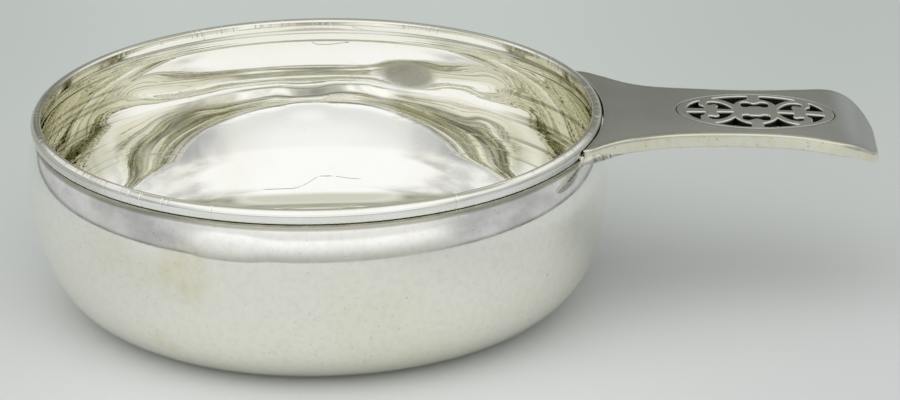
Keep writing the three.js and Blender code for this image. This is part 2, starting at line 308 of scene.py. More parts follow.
# Films and shades over the pieces, in millimetres, as (start, end), then the values there unless 0 and 1
BELLY_FILM = (37.0, 30.0, 0.0, 0.55)
LIP_FILM = (36.0, 41.0, 0.0, 0.4)
FLANK_ACROSS = (40.0, 50.0)
FLANK_RISE = (10.0, 20.0)
FOOT_SHADE = (11.0, 3.0, 0.0, 0.1)
GROOVE_RISE = (NECK_HEIGHT - 1.0, NECK_HEIGHT - 0.5, 0.0, 0.8)
RIM_SIDE_SHADE = (40.0, 58.0)
HANDLE_SHADE = (75.0, 122.0, 0.2, 0.25)

# Noise of the finishes as (scale, detail, roughness), and how some of it is squeezed along X, Y and Z
RING_SQUEEZE = (7.0, 7.0, 800.0)
RING_NOISE = (1.0, 2.0)
GRAIN_SQUEEZE = (70.0, 1800.0, 1800.0)
GRAIN_NOISE = (1.0, 3.0)
SCRATCH_SQUEEZE = (90.0, 90.0, 2600.0)
PLANISH_NOISE = (140.0, 1.0)
RIM_NOISE = (300.0, 2.0)
DING_NOISE = (420.0, 2.0)
SOLDER_NOISE = (350.0, 4.0, 0.6)
CRACK_SCALE = 420.0

# Levels of a noise or a mark as (start, end), then the values there unless they are 0 and 1
REFLECTED_BAND_LEVELS = (0.52, 0.62, 0.0, 0.8)
RIM_SIDE_SHADE_LEVELS = (0.0, 0.5, 0.4, 0.6)
GRAIN_LEVELS = (0.35, 0.7, 0.0, 0.07)
BROW_LEVELS = (0.0, 1.0, 0.0, 0.55)
RECESS_LEVELS = (0.45, 1.0)
SATIN_POLISH = (0.3, 0.7, 0.24, 0.265)
SOLDER_LEVELS = (0.3, 0.7)
SOLDER_POLISH = (0.3, 0.7, 0.32, 0.16)
CRACK_LEVELS = (0.09, 0.02)

# Cloudy patterns as (noise, levels)
FILM_CLOUDS = ((45.0, 4.0, 0.6), (0.42, 0.78, 0.0, 0.45))
STAIN_BREAKS = ((260.0, 3.0), (0.3, 0.65, 0.35, 1.0))
SPOT_WEAR = ((220.0, 3.0), (0.3, 0.7, 0.65, 0.85))
PIT_PATCHES = ((60.0, 2.0), (0.35, 0.65, 0.08, 0.3))
MOTTLE = ((700.0, 2.0), (0.4, 0.7, 0.0, 0.06))
BOWL_POLISH = ((120.0, 3.0), (0.3, 0.7, 0.05, 0.1))
SCRATCHES = ((1.0, 2.0), (0.6, 0.72))
SCRATCH_PATCHES = ((90.0, 2.0), (0.42, 0.6))
RIM_FILM = ((80.0, 3.0), (0.4, 0.75, 0.0, 0.5))
RIM_POLISH = ((200.0, 3.0), (0.3, 0.7, 0.06, 0.13))
NICKS = ((75.0, 2.0), (0.56, 0.68))
NICK_PATCHES = ((4.0, 2.0), (0.42, 0.55))
SATIN_WEAR = ((55.0, 4.0, 0.6), (0.3, 0.75))
SIDE_TARNISH = ((500.0, 3.0, 0.6), (0.42, 0.7, 0.0, 0.45))
CRACK_PATCHES = ((180.0, 2.0), (0.45, 0.6))
SEAM_CLOUDS = ((250.0, 3.0), (0.3, 0.7, 0.0, 0.35))
TENT_CLOUDS = ((14.0, 3.0), (0.3, 0.7, 0.78, 1.12))

# Pits as (spacing, radius, share of the places that have one), and how they show outside and inside the bowl
FINE_PITS = (1.5, 0.3, 0.45)
FINE_PITS_SHOWN = (1.0, 0.3)
COARSE_PITS = (6.0, 0.38, 0.3)
COARSE_PITS_SHOWN = (0.5, 0.15)
SIDE_PITS = (1.0, 0.24, 0.4)
SIDE_PITS_SHOWN = 0.5
PIT_CORE = 0.4

# Roughness, and what scratches and the dull oval add to it
INSIDE_ROUGHNESS = 0.02
SCRATCH_DULLING = 0.08
SPOT_DULLING = 0.25
EDGE_POLISH = 0.8
SIDE_ROUGHNESS = 0.12
RECESS_ROUGHNESS = 0.6
SEAM_ROUGHNESS = 0.28

# Fine relief in millimetres, sunk where negative
PLANISH_DEPTH = 0.012
SCRATCH_DEPTH = -0.0015
RING_DEPTH = 0.022
NICK_DEPTH = -0.06
RIM_NOISE_DEPTH = 0.009
GRAIN_DEPTH = 0.00012
DING_DEPTH = 0.004
SIDE_PIT_DEPTH = -0.03
SOLDER_NOISE_DEPTH = 0.03
CRACK_DEPTH = -0.05


# Node helpers
def node(tree, kind, inputs=None, **settings):
    """A new node, with its settings and with its inputs set or linked."""
    made = tree.nodes.new(kind)
    for name, value in settings.items():
        setattr(made, name, value)
    for socket, value in (inputs or {}).items():
        join(tree, value, made.inputs[socket])
    return made


def join(tree, value, target):
    """Links a socket to an input, or sets the input's own value."""
    if isinstance(value, bpy.types.NodeSocket):
        tree.links.new(value, target)
    else:
        target.default_value = value


def maths(tree, operation, *values):
    """The result of one operation on values or sockets."""
    return node(tree, "ShaderNodeMath", dict(enumerate(values)), operation=operation).outputs[0]


def ramp(tree, value, low, high, start=0.0, end=1.0):
    """A value moved smoothly from start to end as it goes from low to high."""
    made = node(
        tree,
        "ShaderNodeMapRange",
        {"Value": value, "From Min": low, "From Max": high, "To Min": start, "To Max": end},
        interpolation_type="SMOOTHSTEP",
    )
    return made.outputs["Result"]


def within(tree, value, span):
    """The same over a span in millimetres: (start, end), then the values there unless they are 0 and 1."""
    start, end, *values = span
    return ramp(tree, value, start * MM, end * MM, *values)


def times(tree, first, *others):
    """Product of several values."""
    for other in others:
        first = maths(tree, "MULTIPLY", first, other)
    return first


def blend_value(tree, share, first, second):
    """Moves from the first value to the second, by the sockets that a Mix node has for values."""
    return node(tree, "ShaderNodeMix", {0: share, 2: first, 3: second}, data_type="FLOAT").outputs[0]


def mix_colour(tree, share, first, second, blend="MIX"):
    """Moves from the first colour to the second, by the sockets that a Mix node has for colours."""
    sockets = {0: share, 6: first, 7: second}
    return node(tree, "ShaderNodeMix", sockets, data_type="RGBA", blend_type=blend).outputs[2]


def layered(tree, tone, *layers):
    """A tone with layers of (share, colour) laid over it in turn."""
    for share, colour in layers:
        tone = mix_colour(tree, share, tone, colour)
    return tone


def noise(tree, place, scale, detail=2.0, roughness=0.5):
    """Soft noise between 0 and 1."""
    made = node(
        tree,
        "ShaderNodeTexNoise",
        {"Vector": place, "Scale": scale, "Detail": detail, "Roughness": roughness},
    )
    return made.outputs["Fac"]


def clouds(tree, place, pattern):
    """A cloudy pattern, given as (settings of a noise, levels for its ramp)."""
    settings, levels = pattern
    return ramp(tree, noise(tree, place, *settings), *levels)


def vector(tree, x, y, z):
    """A vector of three values."""
    return node(tree, "ShaderNodeCombineXYZ", {"X": x, "Y": y, "Z": z}).outputs[0]


def parts_of(tree, place):
    """A place's X, Y and Z."""
    return node(tree, "ShaderNodeSeparateXYZ", {"Vector": place}).outputs


def vector_maths(tree, operation, *values):
    """The results of one operation on vectors, as a Vector and a Value."""
    return node(tree, "ShaderNodeVectorMath", dict(enumerate(values)), operation=operation).outputs


# Mesh helpers
def placed(name, data):
    """A new object in the scene."""
    made = bpy.data.objects.new(name, data)
    bpy.context.scene.collection.objects.link(made)
    return made


def new_object(name, points, edges, faces):
    """A mesh object whose place is in its points, given in millimetres."""
    mesh = bpy.data.meshes.new(name)
    mesh.from_pydata([Vector(point) * MM for point in points], edges, faces)
    return placed(name, mesh)


def new_piece(name, points, faces, material):
    """A mesh object made of faces in one material."""
    piece = new_object(name, points, [], faces)
    piece.data.validate()
    piece.data.materials.append(material)
    return piece


def add_mark(mesh, label, values):
    """A named value on each of a mesh's points."""
    mesh.attributes.new(label, "FLOAT", "POINT").data.foreach_set("value", values)


def smooth_by_angle(mesh, angle):
    """Smooth faces, with edges sharper than an angle kept sharp."""
    mesh.shade_smooth()
    mesh.set_sharp_from_angle(angle=angle)


def along(row, steps=16):
    """A smooth value along a row of (distance, value) pairs."""
    knots = np.array([row[0], *row, row[-1]], dtype=float)
    share = np.linspace(0.0, 1.0, steps, endpoint=False)
    table = []
    for a, b, c, d in zip(knots, knots[1:], knots[2:], knots[3:]):
        for t in share:
            bend = 2 * b + (c - a) * t
            bend = bend + (2 * a - 5 * b + 4 * c - d) * t * t
            bend = bend + (3 * b - a - 3 * c + d) * t ** 3
            table.append(bend / 2)
    table.append(knots[-1])
    places, values = np.array(table).T
    return lambda x: np.interp(x, places, values)


half_width = along(HALF_WIDTHS)
top_edge = along(TOP_HEIGHTS)
thickness = along(THICKNESSES)
crown = along(CROWNS)


def handle_top(x, y):
    """Height of the handle's top surface, arched across its width."""
    across = np.minimum(1.0, np.abs(y) / half_width(x))
    return top_edge(x) + crown(x) * (1 - across * across)


def bezier(*knots):
    """Points of one Bezier stretch, its last point left out."""
    knots = np.array(knots, dtype=float)
    points = []
    for t in np.linspace(0.0, 1.0, CURVE_STEPS, endpoint=False):
        level = knots
        while len(level) > 1:
            level = level[:-1] * (1 - t) + level[1:] * t
        points.append(level[0])
    return points


# Turned pieces
def drawn_in(rise):
    """How far the shoulder is drawn in at a share of its height."""
    return (BELLY_RADIUS - NECK_RADIUS) * rise ** SHOULDER_POWER


def wall_curve(inset):
    """The bowl's wall from the edge of the base to the neck, drawn in by a distance."""
    belly = BELLY_RADIUS - inset
    points = []
    for step in range(TURN_STEPS + 1):
        angle = step / TURN_STEPS * math.pi / 2
        outward = math.sin(angle) ** (2 / TURN_POWER)
        upward = 1 - max(0.0, math.cos(angle)) ** (2 / TURN_POWER)
        radius = BASE_RADIUS + (belly - BASE_RADIUS) * outward
        points.append((radius, inset + (BELLY_HEIGHT - inset) * upward))
    for step in range(1, SHOULDER_STEPS + 1):
        rise = step / SHOULDER_STEPS
        points.append((belly - drawn_in(rise), BELLY_HEIGHT + (NECK_HEIGHT - BELLY_HEIGHT) * rise))
    return points


def floor_curve(height):
    """The flat of the base at a height, from its middle to near its edge."""
    return [(BASE_RADIUS * step / FLOOR_STEPS, height) for step in range(FLOOR_STEPS)]


def eased(value, low, high):
    """Moves smoothly from 0 at low to 1 at high."""
    share = min(1.0, max(0.0, (value - low) / (high - low)))
    return share * share * (3 - 2 * share)


def bowl_inside():
    """Inner face of the bowl from the middle of its floor to the lip, swollen inwards round the turn."""
    wall = []
    for radius, height in wall_curve(WALL):
        swell = INNER_SWELL * eased(height, SWELL_TOP, SWELL_FOOT) * eased(height, WALL, WALL + INNER_SWELL)
        wall.append((radius - swell, height))
    lip = (NECK_RADIUS - WALL, LIP_HEIGHT)
    radii, heights = np.array(wall + [lip]).T
    wall = [point for point in wall if point[1] < RIDGES_FROM]
    for height in np.linspace(RIDGES_FROM, LIP_HEIGHT, RIDGE_STEPS):
        ridge = 0.0
        for level, rise in LIP_RIDGES:
            ridge += rise * eased(abs(height - level), RIDGE_HALF, 0.0)
        wall.append((float(np.interp(height, heights, radii)) - ridge, float(height)))
    return floor_curve(WALL) + wall


def bowl_profile():
    """Profile from the middle of the underside, up the outside, over the lip and down the inside."""
    outside = floor_curve(0.0) + wall_curve(0.0) + [(NECK_RADIUS, LIP_HEIGHT)]
    inside = bowl_inside()
    faces = []
    for _, height in outside:
        fade = eased(height, NECK_HEIGHT, NECK_HEIGHT - WAVE_FADE) * eased(height, 0.0, WAVE_FADE)
        faces.append((OUTSIDE_WAVE * fade, 0.0, OUTSIDE_WAVE * fade))
    for _, height in inside[::-1]:
        fade = eased(height, NECK_HEIGHT, NECK_HEIGHT - WAVE_FADE)
        low = FLOOR_WAVE + (1 - FLOOR_WAVE) * eased(height, CALM_TOP - 2 * WAVE_FADE, CALM_TOP)
        faces.append((fade * low, 1.0, fade * eased(height, RIPPLE_FOOT, RIPPLE_FULL)))
    return outside + inside[::-1], faces


def arc(centre, reach, rise, start, end):
    """Points on a stretch of an oval, about its centre, between two angles in degrees."""
    turns = np.radians(np.linspace(start, end, BEAD_STEPS + 1))
    return [(centre[0] + reach * math.cos(turn), centre[1] + rise * math.sin(turn)) for turn in turns]


def rim_profile():
    """Half-round face of the moulding, from its lower edge over to its inner edge, and back by its seat."""
    neck = NECK_RADIUS + SOLDER_FILM
    seat = LIP_HEIGHT + SOLDER_FILM
    middle = RIM_TOP - BEAD_RISE
    crest = RIM_RADIUS - BEAD_REACH
    face = arc((neck, middle), RIM_RADIUS - neck, middle - RIM_FOOT, -90, 0)
    face += arc((crest, middle), BEAD_REACH, BEAD_RISE, 0, 90)[1:]
    face += arc((crest, RIM_TOP - BEAD_INNER_FALL), crest - RIM_INNER_RADIUS, BEAD_INNER_FALL, 90, 180)[1:]
    face += [(RIM_INNER_RADIUS, seat), (neck, seat), face[0]]
    return face, [SMOOTH] * len(face)


def rim_solder_profile():
    """Hollow fillet between the neck and the underside of the moulding."""
    top = RIM_FOOT - SOLDER_FILM
    neck = NECK_RADIUS + SOLDER_FILM
    foot = (neck, top - RIM_SOLDER_DEPTH)
    tip = (neck + RIM_SOLDER_REACH, top)
    face = bezier(foot, (neck, top), tip) + [tip, (neck, top), foot]
    return [tuple(point) for point in face], [SMOOTH] * len(face)


def unit(rows):
    """Rows of coordinates, each brought to a length of one."""
    return rows / np.maximum(np.linalg.norm(rows, axis=1), TINY)[:, None]


def profile_normals(points):
    """Unit normals of a profile, on the side of the air."""
    run = unit(np.gradient(np.array(points), axis=0))
    return np.column_stack((run[:, 1], np.zeros(len(run)), -run[:, 0]))


def new_tree(name, **sockets):
    """An empty node tree that gives geometry, with named inputs of the given kinds."""
    tree = bpy.data.node_groups.new(name, "GeometryNodeTree")
    tree.interface.new_socket("Geometry", in_out="OUTPUT", socket_type="NodeSocketGeometry")
    for label, kind in sockets.items():
        socket = label.replace("_", " ").title()
        tree.interface.new_socket(socket, in_out="INPUT", socket_type="NodeSocket" + kind)
    return tree, node(tree, "NodeGroupInput").outputs


def end_tree(tree, geometry, material):
    """Real mesh in the given material, as the tree's result."""
    solid = node(tree, "GeometryNodeRealizeInstances", {"Geometry": geometry})
    dressed = node(tree, "GeometryNodeSetMaterial", {"Geometry": solid.outputs[0], "Material": material})
    node(tree, "NodeGroupOutput", {"Geometry": dressed.outputs[0]})


def add_dents(tree, dents, turn, height):
    """How far the dents move the wall outwards at a turn and a height."""
    total = 0.0
    for angle, level, half_angle, half_height, depth in dents:
        aside = maths(tree, "COSINE", maths(tree, "SUBTRACT", turn, math.radians(angle)))
        across = ramp(tree, aside, math.cos(math.radians(half_angle)), 1.0)
        away = maths(tree, "ABSOLUTE", maths(tree, "SUBTRACT", height, level * MM))
        upward = ramp(tree, away, half_height * MM, 0.0)
        one = times(tree, across, upward, depth * MM)
        total = maths(tree, "ADD", total, one)
    return total


def turned_tree():
    """Turns a profile of (radius, 0, height) points about Z, with its waves and dents."""
    tree, given = new_tree(
        "turned_piece", profile="Geometry", round_steps="Int", wave_depth="Float", wave_scale="Float",
        ripple_depth="Float", ripple_scale="Float", dent_share="Float", material="Material",
    )
    profile = given["Profile"]

    # Grid with a column for each step round and a row for each profile point
    size = node(tree, "GeometryNodeAttributeDomainSize", {"Geometry": profile}, component="MESH")
    count = size.outputs["Point Count"]
    grid = node(
        tree,
        "GeometryNodeMeshGrid",
        {"Vertices X": maths(tree, "ADD", given["Round Steps"], 1.0), "Vertices Y": count},
    )
    index = node(tree, "GeometryNodeInputIndex").outputs[0]
    column = maths(tree, "FLOOR", maths(tree, "DIVIDE", maths(tree, "ADD", index, 0.5), count))
    row = maths(tree, "SUBTRACT", index, times(tree, column, count))
    turn = times(tree, maths(tree, "DIVIDE", column, given["Round Steps"]), math.tau)
    across = maths(tree, "COSINE", turn)
    ahead = maths(tree, "SINE", turn)

    # What the profile says at each row
    def picked(value, kind):
        """A value of the profile's own points, at this row."""
        sample = {"Geometry": profile, "Value": value, "Index": row}
        return node(tree, "GeometryNodeSampleIndex", sample, data_type=kind).outputs[0]

    def profile_value(name, kind):
        """One of the profile's named values, at this row."""
        named = node(tree, "GeometryNodeInputNamedAttribute", {"Name": name}, data_type=kind)
        return picked(named.outputs[0], kind)

    place = picked(node(tree, "GeometryNodeInputPosition").outputs[0], "FLOAT_VECTOR")
    place = parts_of(tree, place)
    radius = place["X"]
    height = place["Z"]
    facing = parts_of(tree, profile_value("facing", "FLOAT_VECTOR"))
    flat_x = times(tree, radius, across)
    flat_y = times(tree, radius, ahead)

    # Waves, ripples and dents
    def swell(scale, depth, flatness, detail):
        """Soft swellings, flattened along the height."""
        spot = vector(tree, flat_x, flat_y, times(tree, height, flatness))
        level = maths(tree, "SUBTRACT", noise(tree, spot, scale, detail), 0.5)
        return times(tree, level, depth)

    waves = swell(given["Wave Scale"], given["Wave Depth"], WAVE_FLATNESS, WAVE_DETAIL)
    ripples = swell(given["Ripple Scale"], given["Ripple Depth"], RIPPLE_FLATNESS, RIPPLE_DETAIL)
    lift = times(tree, waves, profile_value("wave", "FLOAT"))
    lift = maths(tree, "MULTIPLY_ADD", ripples, profile_value("ripple", "FLOAT"), lift)
    inside = profile_value("inside", "FLOAT")
    dents = times(tree, add_dents(tree, INSIDE_DENTS, turn, height), inside)
    dents = maths(tree, "ADD", dents, add_dents(tree, WALL_DENTS, turn, height))
    dents = times(tree, dents, given["Dent Share"])

    # Final place of each point
    outward = maths(tree, "MULTIPLY_ADD", lift, facing["X"], maths(tree, "ADD", radius, dents))
    upward = maths(tree, "MULTIPLY_ADD", lift, facing["Z"], height)
    final = vector(tree, times(tree, outward, across), times(tree, outward, ahead), upward)
    stored = node(
        tree,
        "GeometryNodeStoreNamedAttribute",
        {"Geometry": grid.outputs["Mesh"], "Name": "inside", "Value": inside},
        data_type="FLOAT",
        domain="POINT",
    )
    moved = node(tree, "GeometryNodeSetPosition", {"Geometry": stored.outputs[0], "Position": final})
    joined = {"Geometry": moved.outputs[0], "Distance": MERGE_DISTANCE}
    closed = node(tree, "GeometryNodeMergeByDistance", joined)
    end_tree(tree, closed.outputs[0], given["Material"])
    return tree


def path_piece(name, points, marks):
    """A row of points joined by edges, with named values on the points."""
    edges = [(index, index + 1) for index in range(len(points) - 1)]
    piece = new_object(name, points, edges, [])
    for label, values in marks.items():
        add_mark(piece.data, label, values)
    return piece


def made_by(tree, piece, inputs):
    """The piece as a plain mesh that a tree makes of it, each input set by its socket's identifier."""
    making = piece.modifiers.new("making", "NODES")
    making.node_group = tree
    for item in tree.interface.items_tree:
        if item.in_out == "INPUT" and item.name in inputs:
            making[item.identifier] = inputs[item.name]
    evaluated = piece.evaluated_get(bpy.context.evaluated_depsgraph_get())
    mesh = bpy.data.meshes.new_from_object(evaluated)
    piece.modifiers.clear()
    old = piece.data
    piece.data = mesh
    bpy.data.meshes.remove(old)
    mesh.name = piece.name
    return piece


def turned(name, profile, tree, material, beaten=0.0):
    """A turned piece, from (radius, height) points and each point's (wave, inside, ripple) shares."""
    points, shares = profile
    wave, inside, ripple = zip(*shares)
    row = [(radius, 0.0, height) for radius, height in points]
    piece = path_piece(name, row, {"wave": wave, "inside": inside, "ripple": ripple})
    facing = piece.data.attributes.new("facing", "FLOAT_VECTOR", "POINT")
    facing.data.foreach_set("vector", profile_normals(points).ravel())
    made_by(tree, piece, {
        "Round Steps": ROUND_STEPS,
        "Wave Depth": WAVE_DEPTH * MM * beaten,
        "Wave Scale": WAVE_SCALE,
        "Ripple Depth": RIPPLE_DEPTH * MM * beaten,
        "Ripple Scale": RIPPLE_SCALE,
        "Dent Share": beaten,
        "Material": material,
    })
    smooth_by_angle(piece.data, TURNED_SHARP)
    return piece


# Flat pieces with rounded edges
def closed_normals(loop):
    """Outward unit normals of a closed loop that runs anticlockwise."""
    ahead = unit(np.roll(loop, -1, axis=0) - loop)
    back = unit(loop - np.roll(loop, 1, axis=0))
    mean = unit(ahead + back)
    return np.column_stack((mean[:, 1], -mean[:, 0]))


def anticlockwise(loop):
    """The loop's points in anticlockwise order."""
    loop = np.array(loop, dtype=float)
    area = np.sum(loop[:, 0] * np.roll(loop[:, 1], -1) - loop[:, 1] * np.roll(loop[:, 0], -1))
    return loop if area > 0 else loop[::-1]


def rounded_rows(edge):
    """Rows of (inset, depth, level, share of the way round) down a wall whose two edges are rounded."""
    rows = []
    for step in range(EDGE_STEPS + 1):
        angle = step / EDGE_STEPS * math.pi / 2
        rows.append((edge * (1 - math.sin(angle)), edge * (1 - math.cos(angle)), "top", step / EDGE_STEPS))
    for inset, depth, _, _ in rows[::-1]:
        rows.append((inset, depth, "bottom", 1.0))
    return rows


def inside_loops(points, outer, holes):
    """Which points lie inside the outer loop and outside the holes."""
    kept = in_loop(points, outer)
    for hole in holes:
        kept = kept & ~in_loop(points, hole)
    return kept


def in_loop(points, loop):
    """Which points lie inside a closed loop."""
    x, y = points[:, 0], points[:, 1]
    inside = np.zeros(len(points), dtype=bool)
    for (x1, y1), (x2, y2) in zip(loop, np.roll(loop, -1, axis=0)):
        crosses = (y1 > y) != (y2 > y)
        with np.errstate(divide="ignore", invalid="ignore"):
            reach = (x2 - x1) * (y - y1) / (y2 - y1) + x1
        inside ^= crosses & (x < reach)
    return inside


def fill_between(outer, holes, spacing):
    """Even triangles over a flat region: (points, faces, how many points are its border's)."""
    loops = [outer, *holes]
    low, high = outer.min(axis=0), outer.max(axis=0)
    xs = np.arange(low[0], high[0], spacing)
    ys = np.arange(low[1], high[1], spacing * ROW_SHARE)
    grid = np.array([(x + (row % 2) * spacing / 2, y) for row, y in enumerate(ys) for x in xs])
    grid = grid[inside_loops(grid, outer, holes)]
    border = np.vstack(loops)
    clear = np.ones(len(grid), dtype=bool)
    for start in range(0, len(grid), BATCH):
        gap = grid[start:start + BATCH, None, :] - border[None, :, :]
        nearest = np.min(np.sum(gap * gap, axis=2), axis=1)
        clear[start:start + BATCH] = nearest > (spacing * BORDER_SHARE) ** 2
    points = np.vstack((border, grid[clear]))
    edges = []
    first = 0
    for loop in loops:
        edges += [(first + k, first + (k + 1) % len(loop)) for k in range(len(loop))]
        first += len(loop)
    corners = [Vector(point) for point in points]
    made = delaunay_2d_cdt(corners, edges, [], TRIANGLES_INSIDE, MERGE_DISTANCE)
    flat = np.array([tuple(point) for point in made[0]])
    triangles = np.array(made[2])
    kept = inside_loops(flat[triangles].mean(axis=1), outer, holes)
    return flat, triangles[kept].tolist(), len(border)


class PlateMesh:
    """Gathers the points and faces of a plate: each point's depth below the handle's top, and its marks."""

    def __init__(self, depth_at):
        """An empty plate, with its thickness as a function of flat points."""
        self.depth_at = depth_at
        self.points = []
        self.faces = []
        self.marks = []
        self.rims = {"top": [], "bottom": []}

    def add_points(self, flat, depths, marks):
        """Points with the same marks, and the number of the first."""
        first = len(self.points)
        self.points += [(x, y, depth) for (x, y), depth in zip(flat, depths)]
        self.marks += [marks] * len(flat)
        return first

    def add_strip(self, upper, lower, count, inward):
        """Quads between two loops of the same number of points."""
        for k in range(count):
            other = (k + 1) % count
            quad = (upper + k, lower + k, lower + other, upper + other)
            self.faces.append(quad[::-1] if inward else quad)

    def add_wall(self, loop, edge, is_hole=False, steps=()):
        """The wall along a loop, with both edges rounded and extra rows of (depth, inset) between them."""
        loop = anticlockwise(loop)
        normal = closed_normals(loop) * (1 if is_hole else -1)
        rows = rounded_rows(edge)
        half = len(rows) // 2
        plan = rows[:half] + [(-inset, depth, "top", 1.0) for depth, inset in steps] + rows[half:]
        shift = steps[-1][1] if steps else 0.0
        rings = []
        for inset, depth, level, share in plan:
            if level == "top":
                flat = loop + normal * inset
                depths = np.full(len(loop), depth)
            else:
                flat = loop + normal * (inset - shift)
                depths = self.depth_at(flat) - depth
            first = self.add_points(flat, depths, wall_marks(share, depths[0], is_hole))
            if rings:
                self.add_strip(rings[-1][0], first, len(loop), inward=is_hole)
            rings.append((first, flat))
        self.rims["top"].append(rings[0])
        self.rims["bottom"].append(rings[-1])

    def add_face(self, level, spacing):
        """The top or the bottom of the plate, filled between the ends of its walls."""
        rims = self.rims[level]
        loops = [flat for _, flat in rims]
        flat, triangles, border = fill_between(loops[0], loops[1:], spacing)
        inner = flat[border:]
        depths = np.zeros(len(inner)) if level == "top" else self.depth_at(inner)
        start = self.add_points(inner, depths, PLAIN_MARKS)
        numbers = []
        for first, loop in [*rims, (start, inner)]:
            numbers += range(first, first + len(loop))
        for triangle in triangles:
            corners = [numbers[k] for k in triangle]
            self.faces.append(corners if level == "top" else corners[::-1])


def wall_marks(share, depth, is_hole):
    """Marks of a point on a wall, as (side, edge, recess)."""
    edge = 4 * share * (1 - share)
    if is_hole:
        return 0.0, edge, min(1.0, depth / DARK_DEPTH)
    return share, edge, 0.0


def plate(outer, holes, spacing, outer_round, hole_round, depth_at, hole_steps):
    """A plate with rounded edges. The walls of its holes have extra rows of (depth, inset)."""
    made = PlateMesh(depth_at)
    made.add_wall(outer, outer_round)
    for hole in holes:
        made.add_wall(hole, hole_round, True, hole_steps)
    for level in ("top", "bottom"):
        made.add_face(level, spacing)
    return made


def plate_piece(name, made, material):
    """A plate as an object, laid on the handle's curved top, with its marks as attributes."""
    places = [(x, y, float(handle_top(x, y)) - depth) for x, y, depth in made.points]
    piece = new_piece(name, places, made.faces, material)
    for label, values in zip(("side", "edge", "recess"), zip(*made.marks)):
        add_mark(piece.data, label, values)
    to_edge = [half_width(x) - abs(y) for x, y, _ in made.points]
    add_mark(piece.data, "brow", [eased(gap, BROW_WIDTH, EDGE_ROUND) for gap in to_edge])
    smooth_by_angle(piece.data, PLATE_SHARP)
    return piece


def oval(long, short):
    """Points of an oval about the middle of the handle's window."""
    turn = np.arange(OVAL_STEPS) / OVAL_STEPS * math.tau
    return np.column_stack((OVAL_X + long * np.cos(turn), short * np.sin(turn)))


# Handle
def root_place(share):
    """The point of the root, at a share of the half-width, that lies against the rim."""
    reach = RIM_RADIUS + ROOT_GAP
    x = reach
    for _ in range(ROOT_ROUNDS):
        y = share * float(half_width(x))
        x = math.sqrt(reach * reach - y * y)
    return x, y


def handle_outline():
    """The handle from above: along its root, one side, its tip and the other side."""
    corner, _ = root_place(1.0)
    crowded = 1 - (1 - np.linspace(0.0, 1.0, SIDE_POINTS)) ** TIP_CROWDING
    xs = corner + (TIP_END - corner) * crowded
    side = np.column_stack((xs, half_width(xs)))
    tip = [(TIP_END, y) for y in np.linspace(side[-1][1], -side[-1][1], TIP_POINTS)[1:-1]]
    root = [root_place(share) for share in np.linspace(-1.0, 1.0, ROOT_POINTS)[1:-1]]
    return np.vstack((root, side, tip, (side * (1, -1))[::-1]))


def handle_piece(material):
    """The handle with its rebated window, its root's end face against the rim marked for black painted shade.
    """
    def depth_at(flat):
        """The handle's own thickness."""
        return thickness(flat[:, 0])

    window = oval(OVAL_LONG, OVAL_SHORT)
    seat = [(SEAT_DEPTH, 0.0), (SEAT_DEPTH, LEDGE)]
    made = plate(handle_outline(), [window], PLATE_GRID, EDGE_ROUND, WINDOW_EDGE, depth_at, seat)
    # The root's end face lies in the gap against the rim, so it is marked for black painted shade
    for index, (x, y, depth) in enumerate(made.points):
        if depth > EDGE_ROUND / 2 and math.hypot(x, y) < RIM_RADIUS + ROOT_GAP + ROOT_TOUCH:
            made.marks[index] = DARK_MARKS
    return plate_piece("handle_silver", made, material)


# Openwork panel
def oval_height(across, reach, rise):
    """Height of an oval, of a given reach and rise, at a distance across from its middle."""
    return rise * math.sqrt(1 - (across / reach) ** 2)


def crescent_opening(at):
    """Opening beside the upright: under the outer oval, over the ring and the scroll."""
    fret = oval_height(UPRIGHT_HALF, FRET_LONG, FRET_SHORT)
    ring = oval_height(UPRIGHT_HALF, RING_SHORT, RING_LONG)
    horn = at(CRESCENT_HORN, oval_height(CRESCENT_HORN, FRET_LONG, FRET_SHORT) - HORN_GAP)
    foot = at(4.7, 4.1)
    points = bezier(at(UPRIGHT_HALF, fret), at(5.6, 9.9), horn)
    points += bezier(horn, at(6.5, 7.3), foot)
    points += bezier(foot, at(3.9, 6.6), at(UPRIGHT_HALF, ring))
    points += [at(UPRIGHT_HALF, ring + (fret - ring) * step / UPRIGHT_STEPS) for step in range(UPRIGHT_STEPS)]
    return points


def scroll_opening(at):
    """Comma-shaped opening: a long point towards the ring, and a round hook that curls over a small bud."""
    tip = at(4.9, CROSSBAR_HALF - CROSSBAR_FLARE)
    bar = at(8.5, CROSSBAR_HALF)
    points = bezier(tip, bar)
    points += bezier(bar, at(8.6, 2.2), at(7.7, 3.1), at(8.5, 3.7))
    points += bezier(at(8.5, 3.7), at(9.2, 4.2), at(9.6, 3.4), at(10.4, 3.5))
    points += bezier(at(10.4, 3.5), at(11.0, 4.6), at(10.2, 5.9), at(8.9, 5.7))
    points += bezier(at(8.9, 5.7), at(7.2, 5.4), at(5.9, 3.6), tip)
    return points


def end_opening(at):
    """Three-cornered opening at the end of the oval, hollow on the side of the scroll."""
    outer = at(15.3, CROSSBAR_HALF + 2 * CROSSBAR_FLARE)
    inner = at(11.3, CROSSBAR_HALF + CROSSBAR_FLARE)
    points = bezier(outer, at(14.7, 4.4), at(12.1, 6.2))
    points += bezier(at(12.1, 6.2), at(12.7, 4.6), at(12.3, 3.4))
    points += bezier(at(12.3, 3.4), at(11.2, 2.6), inner)
    points += bezier(inner, outer)
    return points


def lobed_opening(at):
    """Two lobes and a narrow middle, inside the ring, above or below the boss."""
    half = bezier((0, 4.9), (0.8, 4.9), (1.1, 5.8), (1.9, 5.9))
    half += bezier((1.9, 5.9), (3.1, 5.9), (3.2, 4.6), (3.1, 3.6))
    half += bezier((3.1, 3.6), (3.0, 2.3), (1.9, 2.2), (1.6, 2.6))
    half += bezier((1.6, 2.6), (1.2, 3.0), (0.6, 2.9), (0, 2.9))
    other = [(0, 2.9)] + [(-p, q) for p, q in half[:0:-1]]
    return [at(p, q) for p, q in half + other]


